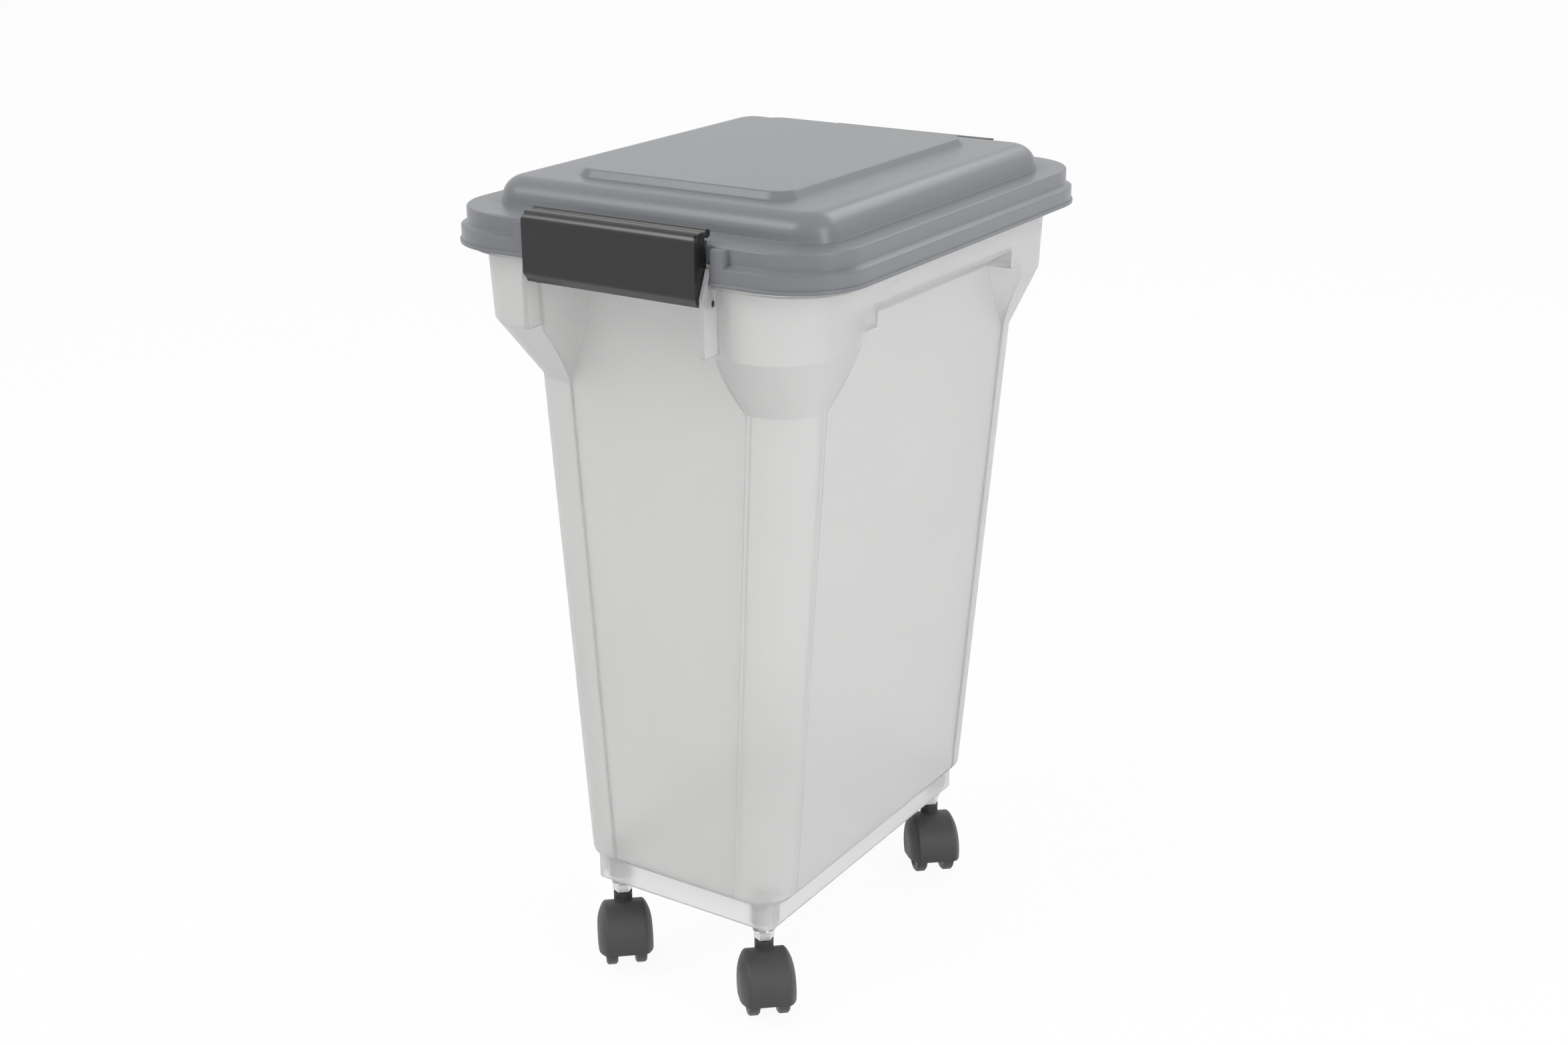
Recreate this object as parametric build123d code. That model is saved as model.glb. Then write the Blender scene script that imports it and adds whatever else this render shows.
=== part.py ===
"""Wheeled dry-food storage bin: a translucent tapered tub on four twin-wheel
casters, with a domed lid, a lid gasket and two side-swing latches."""

import os
from math import atan, cos, degrees, radians, sin

from build123d import *

os.makedirs("parts", exist_ok=True)

# Frame: Z up from the floor, X across the short front, Y from the front latch to the rear one.
# All lengths are millimetres.

# Casters
wheel_radius = 19.0
wheel_width = 7.4
wheel_chamfer = 1.2
wheel_recess = 1.2
wheel_rim = 3.5
hub_radius = 7.0
hub_proud = 0.8
axle_radius = 2.5
axle_clearance = 0.05
press_clearance = 0.02
hood_radius = 24.0
hood_half_width = 18.2
hood_shoulder_radius = 8.0
hood_top_half_width = 12.6
hood_side_wall = 3.6
hood_cover = 3.4
hood_web_half = 5.2
hood_side_gap = 0.4
hood_back_edge = 17.0
hood_cut_slope = 0.22
hood_edge_out = 1.4
hood_edge_drop = 1.2
hood_bulge_in = 1.2
hood_bulge_drop = 7.5
hood_room_chamfer = 1.6
trail = 10.0
neck_radius = 6.2
neck_top = 48.0
neck_root = 9.0
swivel_pin_radius = 3.0
swivel_pin_end = 26.0
swivel_clearance = 0.05
swivel_face_gap = 0.15
swivel_end_gap = 0.5
hex_corner_radius = 6.6
hex_height = 6.0
hex_chamfer = 0.6
spacer_radius = 5.2
spacer_height = 6.95
stem_radius = 3.9
stem_grip = 16.0
stem_end_gap = 1.0
grip_ring_wall = 0.5
grip_ring_height = 5.0
grip_ring_drop = 9.0
caster_inset = 12.0
caster_heading = -49.0

# Tub, outside sizes
skirt_half_x = 68.8
skirt_half_y = 121.4
skirt_corner = 6.0
skirt_height = 18.0
skirt_wall = 2.4
boss_radius = 8.2
gusset_thickness = 2.0
gusset_setback = 2.0
belly_height = 6.5
belly_steps = 4
foot_half_x = 77.7
foot_front = 129.0
foot_back = 132.0
foot_corner = 25.0
wall_height = 322.5
waist_half_x = 100.0
waist_front = 133.5
waist_back = 149.0
waist_corner = 29.0
shoulder_height = 39.0
collar_half_x = 117.0
collar_half_y = 160.0
collar_corner = 35.0
collar_height = 41.0
collar_draft = 1.5
tub_wall = 2.2
floor_thickness = 2.6

# Flat panels let into the four sides of the tub
panel_depth = 1.5
end_panel_foot_half = 46.8
end_panel_waist_half = 64.0
end_panel_face_gap = 0.7
end_panel_splay = 0.42
side_panel_margin = 2.0
side_panel_collar_half = 84.0
side_panel_splay = 0.9
side_panel_ceiling = 8.0
side_panel_ceiling_rise = 11.0
side_panel_draft = 1.5

# Rim of the tub and its flange
rim_half_x = 131.4
rim_half_y = 161.8
rim_corner = 38.4
rim_height = 15.6

# Lid
lid_rim_clearance = 0.65
lid_wall = 2.2
lid_plate = 2.4
lid_step = 3.75
bead_proud = 1.0
bead_height = 2.1
band_height = 8.0
step_height = 2.1
upper_band_height = 9.6
ledge_edge_radius = 1.2
dome_half_x = 118.0
dome_half_y = 139.0
dome_corner = 21.0
dome_height = 15.6
dome_taper = 13.0
dome_edge_radius = 14.0
top_half_x = 77.0
top_half_y = 110.5
top_corner = 15.0
top_height = 4.6
top_taper = 35.0
top_edge_radius = 1.6
gasket_height = 5.0
gasket_width = 4.0
gasket_seat_gap = 0.1
gasket_side_gap = 0.15
spigot_wall = 1.8
spigot_gap = 0.3
spigot_depth = 10.0

# Latches, placed from their pivot: out is away from the tub, up is +Z
latch_half_width = 60.5
latch_ear_gap = 0.5
pivot_out = 2.6
pivot_drop = 7.4
latch_out = 12.6
latch_thickness = 3.0
latch_bottom = -1.2
latch_top = 40.4
latch_web_bottom = 36.8
latch_web_top = 38.7
roll_radius = 2.5
roll_out = -0.4
roll_up = 38.9
latch_rib = 2.5
latch_mid_rib_x = 20.0
latch_boss_radius = 3.9
latch_edge_radius = 3.0
latch_tuck = 4.2
latch_tuck_up = 4.2
latch_tuck_inner = 4.4
latch_tuck_inner_up = 4.6
latch_shoulder_radius = 6.0
latch_corner_radius = 5.0
latch_haunch_in = 2.0
latch_haunch_drop = 2.4
latch_web_out = 4.4
latch_web_step_out = 2.8
latch_rib_profile = [(2.6, 37.2), (1.6, 22.0), (-1.2, 9.0), (-3.7, 1.2), (-3.0, -2.5)]
latch_rib_heel = 4.0
latch_mid_rib_profile = [(4.0, 37.2), (6.6, 20.0), (7.6, 3.0)]
latch_mid_rib_half = 1.0
trunnion_radius = 1.95
trunnion_clearance = 0.05
trunnion_recess = 0.8
ear_thickness = 3.0
ear_out = 9.6
ear_bottom = -30.2
ear_top = 20.0
ear_shoulder_up = 4.0
ear_top_out = 3.0
ear_root_overlap = 0.4
lid_block_gap = 0.8
lid_block_width = 9.0
catch_rib_height = 2.1
catch_rib_width = 3.3
catch_rib_setback = 0.45

# How cut_reach joined shapes run into each other, and cutting shapes past what they cut
overlap = 0.5
cut_past = 1.0
cut_reach = 220.0

# Levels worked out from the sizes above
tub_bottom = neck_top + swivel_face_gap + hex_height + spacer_height
belly_z = tub_bottom + skirt_height
foot_z = belly_z + belly_height
waist_z = foot_z + wall_height
collar_z = waist_z + shoulder_height
flange_z = collar_z + collar_height
rim_z = flange_z + tub_wall
rim_top = flange_z + tub_wall + rim_height
ledge_under = rim_top + gasket_seat_gap + gasket_height
ledge_z = ledge_under + lid_plate
upper_band_z = ledge_z - upper_band_height
band_top = upper_band_z - step_height
bead_top = band_top - band_height
lid_bottom = bead_top - bead_height
dome_z = ledge_z + dome_height

# Half sizes of the lid's bands, from the rim that the lid covers
upper_half_x = rim_half_x + lid_rim_clearance + lid_wall
upper_half_y = rim_half_y + lid_rim_clearance + lid_wall
upper_corner = rim_corner + lid_rim_clearance + lid_wall

# Pivot of a latch, measured from the middle of the bin
pivot_y = rim_half_y + pivot_out
pivot_z = flange_z - pivot_drop

ear_inner_x = latch_half_width + latch_ear_gap
ear_outer_x = ear_inner_x + ear_thickness
block_inner_x = ear_outer_x + lid_block_gap


def outline(half_x, front, back, corner, z):
    """Rounded rectangle at height z, reaching front to -Y and back to +Y."""
    return Pos(0, (back - front) / 2, z) * RectangleRounded(2 * half_x, front + back, corner)


def prism(half_x, half_y, corner, z_low, z_high):
    """Upright block with rounded corners, centred on the Z axis."""
    return extrude(outline(half_x, half_y, half_y, corner, z_low), z_high - z_low)


def polygon_at(points, z):
    """Flat polygon at height z."""
    return Pos(0, 0, z) * make_face(Polyline(*points, close=True))


def end_panel(inset, side):
    """Space in front of the flat panel on the short side (side -1 front, +1 rear)."""
    foot_end = foot_front if side < 0 else foot_back
    waist_end = waist_front if side < 0 else waist_back
    foot_plane = foot_end - panel_depth - inset
    waist_plane = waist_end - panel_depth - inset

    face_half = ear_inner_x + end_panel_face_gap
    collar_half = face_half - end_panel_splay * (collar_half_y - waist_end + panel_depth)

    def level(z, plane, half, splay):
        wide = half + inset + splay * (cut_reach - plane)
        near = half + inset
        points = [(-near, plane), (near, plane), (wide, cut_reach), (-wide, cut_reach)]
        return polygon_at([(x, side * y) for x, y in points], z)

    low = level(belly_z + belly_height / 2, foot_plane, end_panel_foot_half, 0.0)
    waist = level(waist_z, waist_plane, end_panel_waist_half, 0.0)
    collar = level(collar_z, waist_plane, collar_half, end_panel_splay)
    top = level(flange_z, waist_plane, collar_half, end_panel_splay)
    lower = loft([low, waist], ruled=True)
    flare = loft([waist, collar], ruled=True)
    return lower + flare + loft([collar, top], ruled=True)


def side_panel(inset, side):
    """Space outside the flat panel on the long side (side -1 left, +1 right)."""
    foot_mid = (foot_back - foot_front) / 2
    waist_mid = (waist_back - waist_front) / 2
    foot_half = (foot_front + foot_back) / 2 - foot_corner - side_panel_margin
    waist_half = (waist_front + waist_back) / 2 - waist_corner - side_panel_margin
    foot_plane = foot_half_x - panel_depth - inset
    waist_plane = waist_half_x - panel_depth - inset
    collar_plane = waist_plane + side_panel_draft

    def level(z, plane, middle, half, splay):
        wide = half + inset + splay * (cut_reach - plane)
        near = half + inset
        points = [(plane, middle - near), (plane, middle + near)]
        points += [(cut_reach, middle + wide), (cut_reach, middle - wide)]
        return polygon_at([(side * x, y) for x, y in points], z)

    low = level(belly_z + belly_height / 2, foot_plane, foot_mid, foot_half, 0.0)
    waist = level(waist_z, waist_plane, waist_mid, waist_half, 0.0)
    ceiling_z = collar_z + side_panel_ceiling + inset
    slope = (cut_reach - waist_plane) * side_panel_ceiling_rise / (collar_half_x - waist_half_x)
    high = level(ceiling_z, collar_plane, waist_mid, side_panel_collar_half, side_panel_splay)
    lower = loft([low, waist], ruled=True)
    upper = loft([waist, high], ruled=True)
    wedge_points = [(collar_plane, ceiling_z), (cut_reach, ceiling_z + slope), (cut_reach, ceiling_z)]
    wedge = make_face(Plane.XZ * Polyline(*[(side * x, z) for x, z in wedge_points], close=True))
    reach = side_panel_collar_half + inset
    ceiling = extrude(Pos(0, waist_mid, 0) * wedge, reach, both=True)
    return lower + upper + ceiling


def tub_form(inset, z_low, z_high):
    """Solid of the tub's body, drawn in by inset on every side, between two heights."""
    levels = []
    for step in range(belly_steps + 1):
        turn = radians(90.0 * step / belly_steps)
        share = sin(turn)
        levels.append(outline(
            skirt_half_x + (foot_half_x - skirt_half_x) * share - inset,
            skirt_half_y + (foot_front - skirt_half_y) * share - inset,
            skirt_half_y + (foot_back - skirt_half_y) * share - inset,
            skirt_corner + (foot_corner - skirt_corner) * share,
            belly_z + inset + (belly_height - inset) * (1 - cos(turn)),
        ))
    waist = outline(waist_half_x - inset, waist_front - inset, waist_back - inset,
                    waist_corner - inset, waist_z)
    collar = outline(collar_half_x - inset, collar_half_y - inset, collar_half_y - inset,
                     collar_corner - inset, collar_z)
    top_x = collar_half_x + collar_draft - inset
    top_y = collar_half_y + collar_draft - inset
    top = outline(top_x, top_y, top_y, collar_corner - inset, flange_z)
    levels += [waist, collar, top]
    body = loft(levels, ruled=True)
    for side in (-1, 1):
        body -= end_panel(inset, side)
        body -= side_panel(inset, side)
    slab = Pos(0, 0, (z_low + z_high) / 2) * Box(2 * cut_reach, 2 * cut_reach, z_high - z_low)
    return body & slab


def caster_places():
    """Name and swivel axis of each caster."""
    x = skirt_half_x - caster_inset
    y = skirt_half_y - caster_inset
    return {
        "front_left": (-x, -y),
        "front_right": (x, -y),
        "rear_left": (-x, y),
        "rear_right": (x, y),
    }


def pivot_polygon(points, x_low, x_high):
    """Plate between two X values, drawn as (out, up) points from the front latch's pivot."""
    path = Polyline(*[(0, -pivot_y - out, pivot_z + up) for out, up in points], close=True)
    return extrude(Pos(x_low, 0, 0) * make_face(path), x_high - x_low, dir=(1, 0, 0))


def pivot_cylinder(radius, out, up, x_low, x_high):
    """Bar along X, centred on (out, up) from the front latch's pivot."""
    bar = Cylinder(radius, x_high - x_low, rotation=(0, 90, 0))
    return Pos((x_low + x_high) / 2, -pivot_y - out, pivot_z + up) * bar


def ear():
    """Plate beside the front latch, at +X, that carries a trunnion of it."""
    root = collar_half_y - tub_wall + ear_root_overlap - pivot_y
    rim_root = rim_half_y - tub_wall / 2 - pivot_y
    points = [
        (root, ear_bottom),
        (ear_out, ear_bottom),
        (ear_out, ear_shoulder_up),
        (ear_top_out, ear_top),
        (rim_root, ear_top),
        (rim_root, pivot_drop + tub_wall / 2),
        (root, pivot_drop),
    ]
    plate = pivot_polygon(points, ear_inner_x, ear_outer_x)
    hole = pivot_cylinder(trunnion_radius + trunnion_clearance, 0, 0,
                          ear_inner_x - cut_past, ear_outer_x + cut_past)
    return plate - hole


def make_bin():
    """Tub with its skirt, caster bosses, rim and latch ears, moulded in one."""
    shell = tub_form(0.0, belly_z, flange_z)
    inner_x = rim_half_x - tub_wall
    inner_y = rim_half_y - tub_wall
    flange = prism(rim_half_x, rim_half_y, rim_corner, flange_z, rim_z)
    rim = prism(rim_half_x, rim_half_y, rim_corner, rim_z, rim_top)
    rim -= prism(inner_x, inner_y, rim_corner - tub_wall, rim_z, rim_top)
    cavity = tub_form(tub_wall, belly_z + floor_thickness, flange_z)
    mouth = extrude(cavity.faces().sort_by(Axis.Z)[-1], tub_wall)
    tub = shell - cavity + (flange - mouth) + rim

    skirt_top = belly_z + floor_thickness / 2
    skirt = prism(skirt_half_x, skirt_half_y, skirt_corner, tub_bottom, skirt_top)
    skirt -= prism(skirt_half_x - skirt_wall, skirt_half_y - skirt_wall,
                   skirt_corner - skirt_wall, tub_bottom, skirt_top)
    tub += skirt
    bore_top = tub_bottom + stem_grip + stem_end_gap
    for x, y in caster_places().values():
        boss = Pos(x, y, (tub_bottom + skirt_top) / 2) * Cylinder(boss_radius, skirt_top - tub_bottom)
        reach = caster_inset - skirt_wall / 2
        toward_x = x + (reach / 2 if x > 0 else -reach / 2)
        toward_y = y + (reach / 2 if y > 0 else -reach / 2)
        height = skirt_top - tub_bottom - gusset_setback
        middle = skirt_top - height / 2
        boss += Pos(toward_x, y, middle) * Box(reach, gusset_thickness, height)
        boss += Pos(x, toward_y, middle) * Box(gusset_thickness, reach, height)
        bore_radius = stem_radius + grip_ring_wall
        boss -= Pos(x, y, (tub_bottom + bore_top) / 2) * Cylinder(bore_radius, bore_top - tub_bottom)
        tub += boss
    right_ear = ear()
    left_ear = mirror(right_ear, about=Plane.YZ)
    for plate in (right_ear, left_ear):
        tub += plate
        tub += Rot(0, 0, 180) * plate
    return tub


def make_lid():
    """Lid: stepped rim band, ledge, dome and raised top, as one thin moulding."""
    band_x = upper_half_x + lid_step
    band_y = upper_half_y + lid_step
    band_corner = upper_corner + lid_step
    bead = prism(band_x + bead_proud, band_y + bead_proud, band_corner + bead_proud, lid_bottom, bead_top)
    bead = fillet(bead.edges().group_by(Axis.Z)[-1], bead_proud / 2)
    band = prism(band_x, band_y, band_corner, lid_bottom, band_top)
    band_edge = outline(band_x, band_y, band_y, band_corner, band_top)
    step_edge = outline(upper_half_x, upper_half_y, upper_half_y, upper_corner, upper_band_z)
    step = loft([band_edge, step_edge], ruled=True)
    upper = prism(upper_half_x, upper_half_y, upper_corner, upper_band_z, ledge_z)
    upper = fillet(upper.edges().group_by(Axis.Z)[-1], ledge_edge_radius)
    lid = bead + band + step + upper

    dome = extrude(outline(dome_half_x, dome_half_y, dome_half_y, dome_corner, ledge_z - overlap),
                   dome_height + overlap, taper=dome_taper)
    dome = fillet(dome.edges().group_by(Axis.Z)[-1], dome_edge_radius)
    raised = extrude(outline(top_half_x, top_half_y, top_half_y, top_corner, dome_z), top_height,
                     taper=top_taper)
    raised = fillet(raised.edges().group_by(Axis.Z)[-1], top_edge_radius)
    lid = lid + dome + raised

    for side in (-1, 1):
        for end in (-1, 1):
            block_y = end * (band_y + rim_half_y + lid_rim_clearance) / 2
            depth = band_y - rim_half_y - lid_rim_clearance
            height = ledge_z - ledge_edge_radius - bead_top
            block = Pos(side * (block_inner_x + lid_block_width / 2), block_y, bead_top + height / 2)
            lid += block * Box(lid_block_width, depth, height)

    inner_x = rim_half_x + lid_rim_clearance
    inner_y = rim_half_y + lid_rim_clearance
    inner_corner = rim_corner + lid_rim_clearance
    hollow = prism(inner_x, inner_y, inner_corner, lid_bottom, ledge_under)
    lower_x = band_x - lid_plate
    lower_y = band_y - lid_plate
    hollow_low = prism(lower_x, lower_y, band_corner - lid_plate, lid_bottom, band_top - lid_plate / 2)
    for side in (-1, 1):
        for end in (-1, 1):
            block_y = end * (band_y + inner_y) / 2
            keep = Pos(side * (block_inner_x + lid_block_width / 2), block_y, bead_top)
            hollow_low -= keep * Box(lid_block_width, band_y - inner_y, 4 * band_height)
    hollow += hollow_low
    draw_in = lid_plate
    dome_inside = extrude(
        outline(dome_half_x - draw_in, dome_half_y - draw_in, dome_half_y - draw_in,
                dome_corner - draw_in, ledge_under - overlap),
        dome_height + overlap, taper=dome_taper)
    dome_inside = fillet(dome_inside.edges().group_by(Axis.Z)[-1], dome_edge_radius - draw_in)
    raised_inside = extrude(
        outline(top_half_x - draw_in, top_half_y - draw_in, top_half_y - draw_in,
                top_corner - draw_in, dome_z - lid_plate - overlap),
        top_height + overlap, taper=top_taper)
    lid -= hollow + dome_inside + raised_inside

    gap = 2 * block_inner_x
    cut_height = upper_band_z - lid_bottom
    notch_depth = bead_proud + lid_step + lid_wall + lid_rim_clearance
    for end in (-1, 1):
        cut_y = end * (band_y + bead_proud)
        cut = Pos(0, cut_y, lid_bottom + cut_height / 2)
        lid -= cut * Box(gap, 2 * notch_depth, cut_height)
        rib_y = end * (upper_half_y - catch_rib_setback - catch_rib_width / 2)
        rib = Pos(0, rib_y, ledge_z + (catch_rib_height - overlap) / 2)
        lid += rib * Box(2 * latch_half_width, catch_rib_width, catch_rib_height + overlap)

    gasket_outer_x = rim_half_x + lid_rim_clearance - gasket_side_gap
    gasket_outer_y = rim_half_y + lid_rim_clearance - gasket_side_gap
    gasket_inner_x = gasket_outer_x - gasket_width - spigot_gap
    gasket_inner_y = gasket_outer_y - gasket_width - spigot_gap
    spigot_corner = rim_corner + lid_rim_clearance - gasket_side_gap - gasket_width - spigot_gap
    spigot_low = rim_top + gasket_height - spigot_depth
    spigot = prism(gasket_inner_x, gasket_inner_y, spigot_corner, spigot_low, ledge_under)
    spigot -= prism(gasket_inner_x - spigot_wall, gasket_inner_y - spigot_wall,
                    spigot_corner - spigot_wall, spigot_low, ledge_under)
    return lid + spigot


def make_gasket():
    """Soft sealing ring between the tub's rim and the lid's ledge."""
    outer_x = rim_half_x + lid_rim_clearance - gasket_side_gap
    outer_y = rim_half_y + lid_rim_clearance - gasket_side_gap
    corner = rim_corner + lid_rim_clearance - gasket_side_gap
    low = rim_top + gasket_seat_gap
    ring = prism(outer_x, outer_y, corner, low, low + gasket_height)
    return ring - prism(outer_x - gasket_width, outer_y - gasket_width,
                        corner - gasket_width, low, low + gasket_height)


def make_latch():
    """Front latch: bowed pull plate, hook web with a rolled edge, end ribs and trunnions."""
    inner = latch_out - latch_thickness
    half = latch_half_width
    plate_points = [
        (inner - latch_tuck_inner, latch_bottom),
        (latch_out - latch_tuck, latch_bottom),
        (latch_out, latch_tuck_up),
        (latch_out, latch_top),
        (latch_web_out, latch_top),
        (latch_web_step_out, latch_web_top),
        (roll_out, latch_web_top),
        (roll_out, latch_web_bottom),
        (inner - latch_haunch_in, latch_web_bottom),
        (inner, latch_web_bottom - latch_haunch_drop),
        (inner, latch_tuck_inner_up),
    ]
    plate = pivot_polygon(plate_points, -half, half)
    soft = []
    shoulder = []
    for edge in plate.edges().filter_by(Axis.X):
        out = -pivot_y - edge.center().Y
        up = edge.center().Z - pivot_z
        if out > latch_out - overlap and up > latch_top - overlap:
            shoulder.append(edge)
        elif out > latch_out - overlap:
            soft.append(edge)
    plate = fillet(shoulder, latch_shoulder_radius)
    soft = [edge for edge in plate.edges().filter_by(Axis.X)
            if abs(-pivot_y - edge.center().Y - latch_out) < overlap / 2
            and abs(edge.center().Z - pivot_z - latch_tuck_up) < overlap / 2]
    plate = fillet(soft, latch_edge_radius)
    height = latch_top - latch_bottom
    face = Plane.XZ * RectangleRounded(2 * half, height, latch_corner_radius)
    depth = latch_thickness + overlap
    outer = Pos(0, -pivot_y - latch_out + depth, pivot_z + latch_bottom + height / 2) * extrude(face, 2 * depth)
    behind = Pos(0, -pivot_y - latch_out + depth + cut_reach / 2, pivot_z) * Box(cut_reach, cut_reach, cut_reach)
    plate &= outer + behind
    latch = plate + pivot_cylinder(roll_radius, roll_out, roll_up, -half, half)
    rib_points = [
        (inner + overlap, latch_web_bottom + overlap),
        *latch_rib_profile,
        (0.0, -latch_boss_radius),
        (inner - latch_rib_heel, latch_bottom),
        (inner + overlap, latch_tuck_inner_up),
    ]
    mid_rib_points = [
        (inner + overlap, latch_web_bottom + overlap),
        *latch_mid_rib_profile,
        (inner + overlap, latch_tuck_inner_up),
    ]
    for side in (-1, 1):
        low, high = sorted((side * half, side * (half - latch_rib)))
        latch += pivot_polygon(rib_points, low, high)
        latch += pivot_cylinder(latch_boss_radius, 0, 0, low, high)
        low, high = sorted((side * (half - overlap), side * (ear_outer_x - trunnion_recess)))
        latch += pivot_cylinder(trunnion_radius, 0, 0, low, high)
        middle = side * latch_mid_rib_x
        latch += pivot_polygon(mid_rib_points, middle - latch_mid_rib_half, middle + latch_mid_rib_half)
    return latch


def turned(points):
    """Solid of revolution about X from (x, radius) points."""
    return revolve(make_face(Polyline(*points, close=True)), Axis.X)


def make_hood():
    """Caster hood: curved cover, side cheeks, centre web, neck. Axle along X, trailing to +Y."""
    edge_x = hood_top_half_width + hood_edge_out
    edge_radius = hood_radius - hood_edge_drop
    bulge_x = hood_half_width - hood_bulge_in
    bulge_radius = hood_radius - hood_bulge_drop
    shoulder = ThreePointArc((hood_half_width, hood_shoulder_radius), (bulge_x, bulge_radius),
                             (edge_x, edge_radius))
    other = ThreePointArc((-edge_x, edge_radius), (-bulge_x, bulge_radius),
                          (-hood_half_width, hood_shoulder_radius))
    top = Polyline((edge_x, edge_radius), (hood_top_half_width, hood_radius),
                   (-hood_top_half_width, hood_radius), (-edge_x, edge_radius))
    base = Polyline((-hood_half_width, hood_shoulder_radius), (-hood_half_width, 0),
                    (hood_half_width, 0), (hood_half_width, hood_shoulder_radius))
    hood = revolve(make_face(shoulder + top + other + base), Axis.X)
    room_radius = hood_radius - hood_cover
    room_end = hood_half_width - hood_side_wall
    room_flat = room_end - hood_room_chamfer
    for side in (-1, 1):
        room = turned([(side * hood_web_half, 0), (side * hood_web_half, room_radius),
                       (side * room_flat, room_radius),
                       (side * room_end, room_radius - hood_room_chamfer), (side * room_end, 0)])
        hood -= room
    hood = Pos(0, trail, wheel_radius) * hood
    lean = degrees(atan(hood_cut_slope))
    cut = Pos(0, trail + hood_radius, hood_back_edge) * Rot(lean, 0, 0) * Pos(0, 0, -cut_reach / 4)
    hood -= cut * Box(cut_reach / 2, cut_reach, cut_reach / 2)
    neck_low = wheel_radius + hood_radius - neck_root
    neck = Pos(0, 0, (neck_low + neck_top) / 2) * Cylinder(neck_radius, neck_top - neck_low)
    room = Pos(0, trail, wheel_radius) * Cylinder(room_radius, 2 * room_flat, rotation=(0, 90, 0))
    web = Box(2 * hood_web_half, cut_reach, cut_reach)
    hood += neck - (room - web)
    bore_low = swivel_pin_end - swivel_end_gap
    bore_high = neck_top + cut_past
    bore = Cylinder(swivel_pin_radius + swivel_clearance, bore_high - bore_low)
    hood -= Pos(0, 0, (bore_high + bore_low) / 2) * bore
    axle_hole = Cylinder(axle_radius + press_clearance, 2 * axle_half(), rotation=(0, 90, 0))
    return hood - Pos(0, trail, wheel_radius) * axle_hole


def axle_half():
    """Half the axle's length: it ends inside the hood's cheeks."""
    return hood_half_width - hood_side_wall / 2


def make_axle():
    """Steel pin through the hood's web, carried at both cheeks."""
    return Pos(0, trail, wheel_radius) * Cylinder(axle_radius, 2 * axle_half(), rotation=(0, 90, 0))


def make_wheel(side):
    """Plastic wheel on one side of the hood's centre web."""
    inner = hood_web_half + hood_side_gap
    outer = inner + hub_proud / 2 + wheel_width
    bore = axle_radius + axle_clearance
    face = inner + hub_proud / 2
    points = [
        (inner, bore), (inner, hub_radius), (face, hub_radius), (face, wheel_radius - wheel_chamfer),
        (face + wheel_chamfer, wheel_radius), (outer - wheel_chamfer, wheel_radius),
        (outer, wheel_radius - wheel_chamfer), (outer, wheel_radius - wheel_rim),
        (outer - wheel_recess, wheel_radius - wheel_rim - wheel_recess),
        (outer - wheel_recess, hub_radius), (outer + hub_proud, hub_radius), (outer + hub_proud, bore),
    ]
    return Pos(0, trail, wheel_radius) * turned([(side * x, radius) for x, radius in points])


def make_stem():
    """Zinc-plated stem: swivel pin, hexagon, spacer and the shank held in the tub's boss."""
    hex_low = neck_top + swivel_face_gap
    hexagon = Pos(0, 0, hex_low) * extrude(RegularPolygon(hex_corner_radius, 6), hex_height)
    hexagon = chamfer(hexagon.edges().group_by(Axis.Z)[0], hex_chamfer)
    pin_height = hex_low - swivel_pin_end
    pin = Pos(0, 0, swivel_pin_end + pin_height / 2) * Cylinder(swivel_pin_radius, pin_height)
    spacer = Pos(0, 0, tub_bottom - spacer_height / 2) * Cylinder(spacer_radius, spacer_height)
    shank = Pos(0, 0, tub_bottom + stem_grip / 2) * Cylinder(stem_radius, stem_grip)
    return pin + hexagon + spacer + shank


def make_grip_ring():
    """Spring ring that holds the stem's shank in the boss."""
    outer = Cylinder(stem_radius + grip_ring_wall, grip_ring_height)
    ring = outer - Cylinder(stem_radius, grip_ring_height)
    return Pos(0, 0, tub_bottom + grip_ring_drop) * ring


def save(shape, node):
    """Write one node's solid as a STEP file."""
    export_step(shape, f"parts/{node}.step")


save(make_bin(), "bin")
save(make_lid(), "lid")
save(make_gasket(), "lid_gasket")
front_latch = make_latch()
save(front_latch, "front_latch")
save(Rot(0, 0, 180) * front_latch, "rear_latch")

caster_pieces = {
    "stem": make_stem(),
    "grip_ring": make_grip_ring(),
    "hood": make_hood(),
    "axle": make_axle(),
    "wheel_left": make_wheel(-1),
    "wheel_right": make_wheel(1),
}
for place, (x, y) in caster_places().items():
    for piece, shape in caster_pieces.items():
        save(Pos(x, y, 0) * Rot(0, 0, caster_heading - 90) * shape, f"caster_{place}_{piece}")

print("pivot y, z", round(pivot_y, 3), round(pivot_z, 3))
print("tub bottom, waist, collar, flange, rim top", tub_bottom, waist_z, collar_z, flange_z, rim_top)
print("lid bottom, ledge, dome, top", lid_bottom, ledge_z, dome_z, dome_z + top_height)
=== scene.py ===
"""Wheeled dry-food storage bin: looks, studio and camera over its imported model."""

import math

import bmesh
import bpy
from mathutils import Matrix, Vector


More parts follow.
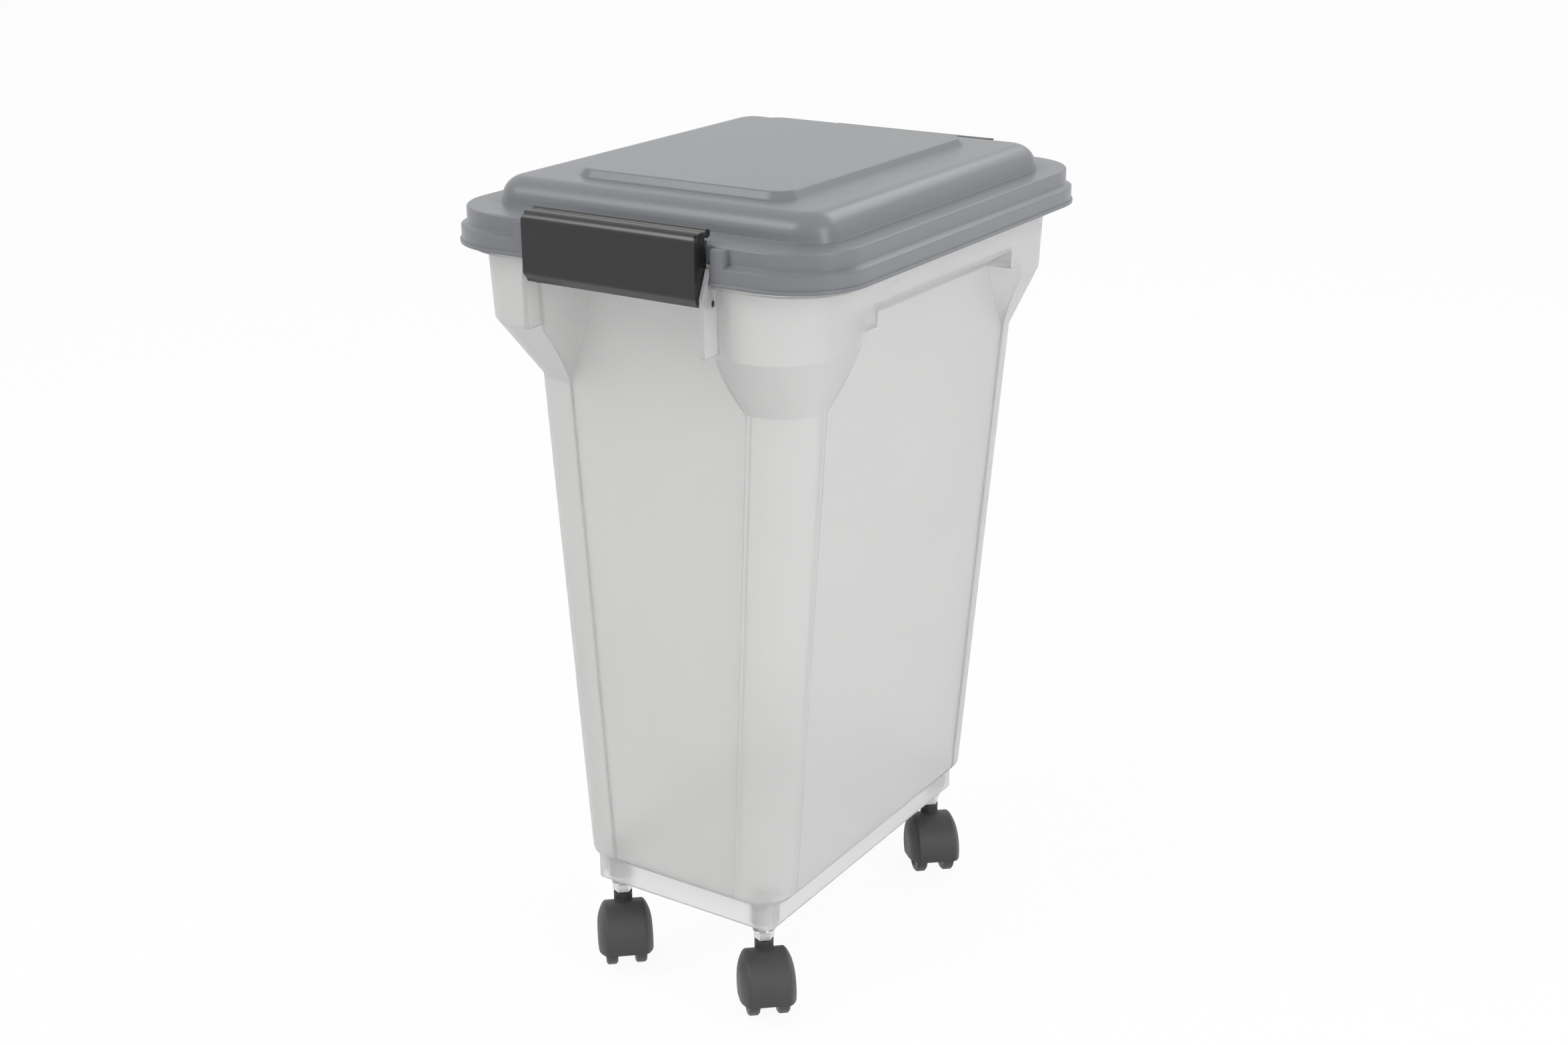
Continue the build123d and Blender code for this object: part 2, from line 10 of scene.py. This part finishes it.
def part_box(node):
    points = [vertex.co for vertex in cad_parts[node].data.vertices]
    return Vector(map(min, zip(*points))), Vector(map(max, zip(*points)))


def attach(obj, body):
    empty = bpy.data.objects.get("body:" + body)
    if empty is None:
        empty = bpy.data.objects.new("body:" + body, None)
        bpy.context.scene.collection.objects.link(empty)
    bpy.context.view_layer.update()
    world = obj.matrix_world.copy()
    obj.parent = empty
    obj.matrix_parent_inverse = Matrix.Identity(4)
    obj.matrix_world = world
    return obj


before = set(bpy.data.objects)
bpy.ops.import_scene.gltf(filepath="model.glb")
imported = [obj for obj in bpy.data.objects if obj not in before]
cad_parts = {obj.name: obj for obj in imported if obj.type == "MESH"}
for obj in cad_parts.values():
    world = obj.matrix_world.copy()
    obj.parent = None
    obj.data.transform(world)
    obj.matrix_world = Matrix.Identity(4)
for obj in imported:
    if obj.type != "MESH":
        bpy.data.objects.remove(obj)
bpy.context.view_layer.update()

# Studio
# A white sweep with a large softbox over the left front, a weaker one on the right and a
# strip behind. The background is white through its colour, not through more light.
scene = bpy.context.scene
scene.view_settings.view_transform = "Standard"


def white_to_the_camera(tree, lit, bright, share):
    """Mix in the bright shader for what the camera, a mirror or clear plastic sees."""
    path = tree.nodes.new("ShaderNodeLightPath")
    seen = tree.nodes.new("ShaderNodeMath")
    seen.operation = "MAXIMUM"
    tree.links.new(path.outputs["Is Camera Ray"], seen.inputs[0])
    tree.links.new(path.outputs["Is Glossy Ray"], seen.inputs[1])
    through = tree.nodes.new("ShaderNodeMath")
    through.operation = "MAXIMUM"
    tree.links.new(seen.outputs[0], through.inputs[0])
    tree.links.new(path.outputs["Is Transmission Ray"], through.inputs[1])
    amount = tree.nodes.new("ShaderNodeMath")
    amount.operation = "MULTIPLY"
    amount.inputs[1].default_value = share
    tree.links.new(through.outputs[0], amount.inputs[0])
    mix = tree.nodes.new("ShaderNodeMixShader")
    tree.links.new(amount.outputs[0], mix.inputs["Fac"])
    tree.links.new(lit.outputs[0], mix.inputs[1])
    tree.links.new(bright.outputs[0], mix.inputs[2])
    return mix


world = bpy.data.worlds.new("studio")
scene.world = world
world.use_nodes = True
air = world.node_tree
air.nodes.clear()
white = (1, 1, 1, 1)
room_tint = (0.97, 0.98, 1.0, 1)
room_strength = 0.60
backdrop_share = 1.0
room = air.nodes.new("ShaderNodeBackground")
room.inputs["Color"].default_value = room_tint
room.inputs["Strength"].default_value = room_strength
backdrop = air.nodes.new("ShaderNodeBackground")
backdrop.inputs["Color"].default_value = white
backdrop_mix = white_to_the_camera(air, room, backdrop, backdrop_share)
shown = air.nodes.new("ShaderNodeOutputWorld")
air.links.new(backdrop_mix.outputs[0], shown.inputs["Surface"])

floor_half = 8.0
floor_corners = [(x * floor_half, y * floor_half, 0) for x, y in ((-1, -1), (1, -1), (1, 1), (-1, 1))]
floor_mesh = bpy.data.meshes.new("floor")
floor_mesh.from_pydata(floor_corners, [], [range(len(floor_corners))])
floor = bpy.data.objects.new("floor", floor_mesh)
scene.collection.objects.link(floor)
floor_paint = bpy.data.materials.new("white_sweep")
floor_paint.use_nodes = True
paint = floor_paint.node_tree
paint.nodes.clear()
sweep_paint = (0.94, 0.94, 0.94, 1)
sweep_share = 0.94
matte = paint.nodes.new("ShaderNodeBsdfDiffuse")
matte.inputs["Color"].default_value = sweep_paint
glow = paint.nodes.new("ShaderNodeEmission")
glow.inputs["Color"].default_value = white
sweep_mix = white_to_the_camera(paint, matte, glow, sweep_share)
surface = paint.nodes.new("ShaderNodeOutputMaterial")
paint.links.new(sweep_mix.outputs[0], surface.inputs["Surface"])
floor_mesh.materials.append(floor_paint)


def softbox(name, place, aim, width, height, power, color=(1, 1, 1)):
    """Rectangular area light that faces a point."""
    lamp = bpy.data.lights.new(name, "AREA")
    lamp.shape = "RECTANGLE"
    lamp.size = width
    lamp.size_y = height
    lamp.energy = power
    lamp.color = color
    holder = bpy.data.objects.new(name, lamp)
    holder.location = place
    holder.rotation_euler = (Vector(aim) - Vector(place)).to_track_quat("-Z", "Y").to_euler()
    scene.collection.objects.link(holder)


softbox("key_softbox", place=(-1.1, -1.5, 2.1), aim=(0, 0, 0.35), width=1.1, height=1.1,
        power=24.0, color=(1.0, 0.99, 0.97))
softbox("right_softbox", place=(1.9, -0.3, 1.1), aim=(0, 0, 0.3), width=0.7, height=1.4, power=17.0)
softbox("rear_strip", place=(0.4, 1.9, 1.9), aim=(0, 0, 0.5), width=1.6, height=0.4, power=8.0)

sensor_width = 36.0
focal_length = 48.166
far_clip = 50.0
camera_rows = (
    (0.8407, -0.1840, 0.5094, 0.7081),
    (0.5416, 0.2946, -0.7874, -1.0896),
    (-0.0052, 0.9378, 0.3473, 0.7691),
    (0, 0, 0, 1),
)
view = bpy.data.cameras.new("camera")
view.sensor_fit = "HORIZONTAL"
view.sensor_width = sensor_width
view.lens = focal_length
view.clip_end = far_clip
camera = bpy.data.objects.new("camera", view)
camera.matrix_world = Matrix(camera_rows)
scene.collection.objects.link(camera)
scene.camera = camera

# Tub
# One injection moulding in milky polypropylene: tapered walls, flared shoulder, rim, skirt,
# caster bosses and latch ears. The walls are thin enough to let light through.
cloud_detail = 4.0
cloud_middle = 0.5
grain_detail = 2.0
edge_samples = 4


def moulded_surface():
    """Node group for moulded plastic: satin grain, slight cloudiness and softened edges."""
    group = bpy.data.node_groups.new("moulded_surface", "ShaderNodeTree")
    face = group.interface
    for title, kind, value in (
            ("Color", "NodeSocketColor", (0.8, 0.8, 0.8, 1)),
            ("Cloud Color", "NodeSocketColor", (0.7, 0.7, 0.7, 1)),
            ("Cloud Scale", "NodeSocketFloat", 14.0),
            ("Grain Scale", "NodeSocketFloat", 1800.0),
            ("Grain Height", "NodeSocketFloat", 0.00002),
            ("Roughness", "NodeSocketFloat", 0.4),
            ("Roughness Spread", "NodeSocketFloat", 0.08),
            ("Edge Radius", "NodeSocketFloat", 0.0008)):
        face.new_socket(title, in_out="INPUT", socket_type=kind).default_value = value
    face.new_socket("Color", in_out="OUTPUT", socket_type="NodeSocketColor")
    face.new_socket("Roughness", in_out="OUTPUT", socket_type="NodeSocketFloat")
    face.new_socket("Normal", in_out="OUTPUT", socket_type="NodeSocketVector")
    taken = group.nodes.new("NodeGroupInput")
    given = group.nodes.new("NodeGroupOutput")
    where = group.nodes.new("ShaderNodeTexCoord")
    cloud = group.nodes.new("ShaderNodeTexNoise")
    cloud.inputs["Detail"].default_value = cloud_detail
    group.links.new(where.outputs["Object"], cloud.inputs["Vector"])
    group.links.new(taken.outputs["Cloud Scale"], cloud.inputs["Scale"])
    blend = group.nodes.new("ShaderNodeMix")
    blend.data_type = "RGBA"
    group.links.new(cloud.outputs["Fac"], blend.inputs["Factor"])
    group.links.new(taken.outputs["Color"], blend.inputs["A"])
    group.links.new(taken.outputs["Cloud Color"], blend.inputs["B"])
    group.links.new(blend.outputs["Result"], given.inputs["Color"])
    centred = group.nodes.new("ShaderNodeMath")
    centred.operation = "SUBTRACT"
    centred.inputs[1].default_value = cloud_middle
    group.links.new(cloud.outputs["Fac"], centred.inputs[0])
    rough = group.nodes.new("ShaderNodeMath")
    rough.operation = "MULTIPLY_ADD"
    group.links.new(centred.outputs[0], rough.inputs[0])
    group.links.new(taken.outputs["Roughness Spread"], rough.inputs[1])
    group.links.new(taken.outputs["Roughness"], rough.inputs[2])
    group.links.new(rough.outputs[0], given.inputs["Roughness"])
    grain = group.nodes.new("ShaderNodeTexNoise")
    grain.inputs["Detail"].default_value = grain_detail
    group.links.new(where.outputs["Object"], grain.inputs["Vector"])
    group.links.new(taken.outputs["Grain Scale"], grain.inputs["Scale"])
    soft = group.nodes.new("ShaderNodeBevel")
    soft.samples = edge_samples
    group.links.new(taken.outputs["Edge Radius"], soft.inputs["Radius"])
    bump = group.nodes.new("ShaderNodeBump")
    bump.inputs["Strength"].default_value = 1.0
    group.links.new(grain.outputs["Fac"], bump.inputs["Height"])
    group.links.new(taken.outputs["Grain Height"], bump.inputs["Distance"])
    group.links.new(soft.outputs["Normal"], bump.inputs["Normal"])
    group.links.new(bump.outputs["Normal"], given.inputs["Normal"])
    return group


moulding = moulded_surface()


def moulded_plastic(name, color, cloud_color, **settings):
    """Material with the moulded surface on a plastic shader."""
    material = bpy.data.materials.new(name)
    material.use_nodes = True
    tree = material.node_tree
    shader = tree.nodes["Principled BSDF"]
    detail = tree.nodes.new("ShaderNodeGroup")
    detail.node_tree = moulding
    detail.inputs["Color"].default_value = (*color, 1)
    detail.inputs["Cloud Color"].default_value = (*cloud_color, 1)
    for title, value in settings.items():
        detail.inputs[title.replace("_", " ").title()].default_value = value
    tree.links.new(detail.outputs["Color"], shader.inputs["Base Color"])
    tree.links.new(detail.outputs["Roughness"], shader.inputs["Roughness"])
    tree.links.new(detail.outputs["Normal"], shader.inputs["Normal"])
    return material


def dress(material, *nodes):
    """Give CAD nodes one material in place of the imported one."""
    for node in nodes:
        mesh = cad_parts[node].data
        mesh.materials.clear()
        mesh.materials.append(material)


milky_plastic = moulded_plastic(
    "milky_polypropylene", color=(0.955, 0.952, 0.945), cloud_color=(0.925, 0.923, 0.918),
    cloud_scale=9.0, grain_scale=1500.0, grain_height=0.00001, roughness=0.34, edge_radius=0.0015)
milky = milky_plastic.node_tree.nodes["Principled BSDF"]
milky.inputs["IOR"].default_value = 1.49
milky.inputs["Transmission Weight"].default_value = 0.72
dress(milky_plastic, "bin")


# Gate and ejector marks
# The ring where the melt came in under the middle of the tub's floor, and four rings left
# round it by the pins that pushed the moulding out. All are part of the tub's plastic.
turned_steps = 48
weld_distance = 1e-7


def turned_piece(name, outline, place):
    """Mesh piece turned about the vertical through place, from (radius, height) points."""
    mesh = bpy.data.meshes.new(name)
    shell = bmesh.new()
    corners = [shell.verts.new((radius, 0, height)) for radius, height in outline]
    edges = [shell.edges.new((a, b)) for a, b in zip(corners, corners[1:] + corners[:1])]
    bmesh.ops.spin(shell, geom=corners + edges, cent=(0, 0, 0), axis=(0, 0, 1), angle=math.tau,
                   steps=turned_steps, use_merge=True)
    bmesh.ops.remove_doubles(shell, verts=shell.verts, dist=weld_distance)
    bmesh.ops.recalc_face_normals(shell, faces=shell.faces)
    bmesh.ops.translate(shell, verts=shell.verts, vec=place)
    shell.to_mesh(mesh)
    shell.free()
    piece = bpy.data.objects.new(name, mesh)
    scene.collection.objects.link(piece)
    return piece


mark_sink = 0.0004
mark_proud = 0.0003
mark_shoulder = 0.00018
ring_width = 0.0006
gate_radius = 0.0055
pin_radius = 0.0038
pin_x = 0.034
pin_y = 0.072
floor_recess = 0.018
tub_floor_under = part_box("bin")[0].z + floor_recess
tub_marks = (
    (0, 0, gate_radius),
    (-pin_x, -pin_y, pin_radius),
    (pin_x, -pin_y, pin_radius),
    (-pin_x, pin_y, pin_radius),
    (pin_x, pin_y, pin_radius),
)
for number, (x, y, radius) in enumerate(tub_marks, start=1):
    inner = radius - ring_width
    crest = radius - ring_width / 2
    mark = turned_piece(f"tub_mark_{number}", [
        (inner, mark_sink), (inner, -mark_shoulder), (crest, -mark_proud),
        (radius, -mark_shoulder), (radius, mark_sink)], (x, y, tub_floor_under))
    mark.data.materials.append(milky_plastic)
    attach(mark, "bin")

# Caster stems
# Zinc-plated steel stem with a hexagon, and a washer round its spacer, pushed up into the
# boss and held by a spring steel ring. The wheels' axles are plain pins in the same plate.
zinc_plate = bpy.data.materials.new("zinc_plate")
zinc_plate.use_nodes = True
zinc_tree = zinc_plate.node_tree
zinc = zinc_tree.nodes["Principled BSDF"]
zinc.inputs["Metallic"].default_value = 1.0
spangle_scale = 900.0
zinc_dull = (0.62, 0.63, 0.65, 1)
zinc_bright = (0.78, 0.79, 0.80, 1)
zinc_smooth = 0.22
zinc_coarse = 0.38
spangle = zinc_tree.nodes.new("ShaderNodeTexNoise")
spangle.inputs["Scale"].default_value = spangle_scale
zinc_place = zinc_tree.nodes.new("ShaderNodeTexCoord")
zinc_tree.links.new(zinc_place.outputs["Object"], spangle.inputs["Vector"])
zinc_tone = zinc_tree.nodes.new("ShaderNodeMix")
zinc_tone.data_type = "RGBA"
zinc_tone.inputs["A"].default_value = zinc_dull
zinc_tone.inputs["B"].default_value = zinc_bright
zinc_tree.links.new(spangle.outputs["Fac"], zinc_tone.inputs["Factor"])
zinc_tree.links.new(zinc_tone.outputs["Result"], zinc.inputs["Base Color"])
zinc_rough = zinc_tree.nodes.new("ShaderNodeMapRange")
zinc_rough.inputs["To Min"].default_value = zinc_smooth
zinc_rough.inputs["To Max"].default_value = zinc_coarse
zinc_tree.links.new(spangle.outputs["Fac"], zinc_rough.inputs["Value"])
zinc_tree.links.new(zinc_rough.outputs["Result"], zinc.inputs["Roughness"])
caster_places = ("front_left", "front_right", "rear_left", "rear_right")
washer_radius = 0.0073
washer_thickness = 0.0011
washer_chamfer = 0.0003
spacer_radius = 0.0052
hexagon_top = 0.05415
washer_inner = washer_radius - washer_chamfer
washer_upper = washer_thickness - washer_chamfer
for place in caster_places:
    dress(zinc_plate, f"caster_{place}_stem", f"caster_{place}_grip_ring", f"caster_{place}_axle")
    low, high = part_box(f"caster_{place}_stem")
    middle = (low + high) / 2
    washer = turned_piece(f"caster_{place}_washer", [
        (spacer_radius, 0), (washer_inner, 0), (washer_radius, washer_chamfer),
        (washer_radius, washer_upper), (washer_inner, washer_thickness),
        (spacer_radius, washer_thickness)], (middle.x, middle.y, hexagon_top))
    washer.data.materials.append(zinc_plate)
    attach(washer, "bin")

# Caster hoods and wheels
# Hood and twin wheels in dark grey nylon with a matte grain. The wheels run on one pin
# either side of the hood's centre web.
hood_plastic = moulded_plastic(
    "grey_nylon", color=(0.052, 0.052, 0.053), cloud_color=(0.040, 0.040, 0.041),
    cloud_scale=60.0, grain_scale=1300.0, grain_height=0.00006, roughness=0.52, roughness_spread=0.12,
    edge_radius=0.0012)
wheel_plastic = moulded_plastic(
    "wheel_nylon", color=(0.044, 0.044, 0.045), cloud_color=(0.035, 0.035, 0.036),
    cloud_scale=60.0, grain_scale=1300.0, grain_height=0.00004, roughness=0.48, roughness_spread=0.12,
    edge_radius=0.0008)
for place in caster_places:
    dress(hood_plastic, f"caster_{place}_hood")
    dress(wheel_plastic, f"caster_{place}_wheel_left", f"caster_{place}_wheel_right")

# Lid
# Opaque blue-grey polypropylene, moulded in one with its stepped rim, dome and raised top,
# in a fine satin grain. It only rests on the tub and lifts straight off.
lid_plastic = moulded_plastic(
    "blue_grey_polypropylene", color=(0.196, 0.203, 0.216), cloud_color=(0.183, 0.190, 0.203),
    cloud_scale=7.0, grain_scale=1600.0, grain_height=0.00002, roughness=0.33, roughness_spread=0.06,
    edge_radius=0.0012)
lid_shader = lid_plastic.node_tree.nodes["Principled BSDF"]
lid_shader.inputs["Specular IOR Level"].default_value = 0.4
dress(lid_plastic, "lid")

# Lid gasket
# Soft pale ring pushed in under the lid's ledge, beside the spigot. It seals on the rim.
gasket_rubber = moulded_plastic(
    "pale_gasket", color=(0.72, 0.72, 0.70), cloud_color=(0.66, 0.66, 0.64),
    cloud_scale=40.0, grain_scale=900.0, grain_height=0.00004, roughness=0.62, edge_radius=0.0005)
dress(gasket_rubber, "lid_gasket")

# Latches
# Charcoal acetal plates, bowed and ribbed inside, with a rolled edge that hooks over the
# lid's catch rib. Each snaps with its two trunnions into the tub's ears.
latch_plastic = moulded_plastic(
    "charcoal_acetal", color=(0.013, 0.013, 0.014), cloud_color=(0.010, 0.010, 0.011),
    cloud_scale=30.0, grain_scale=1500.0, grain_height=0.00001, roughness=0.26, roughness_spread=0.08,
    edge_radius=0.0010)
dress(latch_plastic, "front_latch", "rear_latch")
